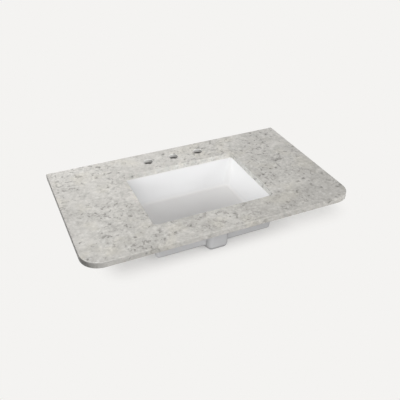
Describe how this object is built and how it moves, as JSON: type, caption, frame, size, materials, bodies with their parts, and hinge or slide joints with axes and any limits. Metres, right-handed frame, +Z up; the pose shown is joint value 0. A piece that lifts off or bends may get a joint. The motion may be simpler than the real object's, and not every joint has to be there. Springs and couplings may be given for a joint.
{
  "type": "vanity sink top",
  "caption": "Mottled quartz vanity top with rounded front corners, faucet holes and an undermounted rectangular white china basin with overflow.",
  "frame": {"origin": "middle of the slab's rear edge, on its underside, where the wall and the cabinet's top meet", "axes": "+X to the user's right, +Y to the wall, +Z up"},
  "size_m": [0.94, 0.559, 0.177],
  "materials": {
    "quartz": "polished engineered quartz, warm light grey with fine darker mottling and short veins",
    "glazed_china": "white glazed vitreous china",
    "silicone": "translucent white silicone sealant, satin",
    "zinc_steel": "zinc plated steel",
    "brass": "plain brass, as turned and as cast"
  },
  "bodies": {
    "root": {"stone_slab": "quartz", "basin": "glazed_china", "sealant_bead": "silicone", "clip_bracket_front_left": "zinc_steel", "clip_stud_front_left": "zinc_steel", "clip_washer_front_left": "zinc_steel", "clip_wing_nut_front_left": "brass", "clip_insert_front_left": "brass", "clip_bracket_front_right": "zinc_steel", "clip_stud_front_right": "zinc_steel", "clip_washer_front_right": "zinc_steel", "clip_wing_nut_front_right": "brass", "clip_insert_front_right": "brass", "clip_bracket_rear_left": "zinc_steel", "clip_stud_rear_left": "zinc_steel", "clip_washer_rear_left": "zinc_steel", "clip_wing_nut_rear_left": "brass", "clip_insert_rear_left": "brass", "clip_bracket_rear_right": "zinc_steel", "clip_stud_rear_right": "zinc_steel", "clip_washer_rear_right": "zinc_steel", "clip_wing_nut_rear_right": "brass", "clip_insert_rear_right": "brass", "clip_bracket_left": "zinc_steel", "clip_stud_left": "zinc_steel", "clip_washer_left": "zinc_steel", "clip_wing_nut_left": "brass", "clip_insert_left": "brass", "clip_bracket_right": "zinc_steel", "clip_stud_right": "zinc_steel", "clip_washer_right": "zinc_steel", "clip_wing_nut_right": "brass", "clip_insert_right": "brass"}
  },
  "joints": []
}
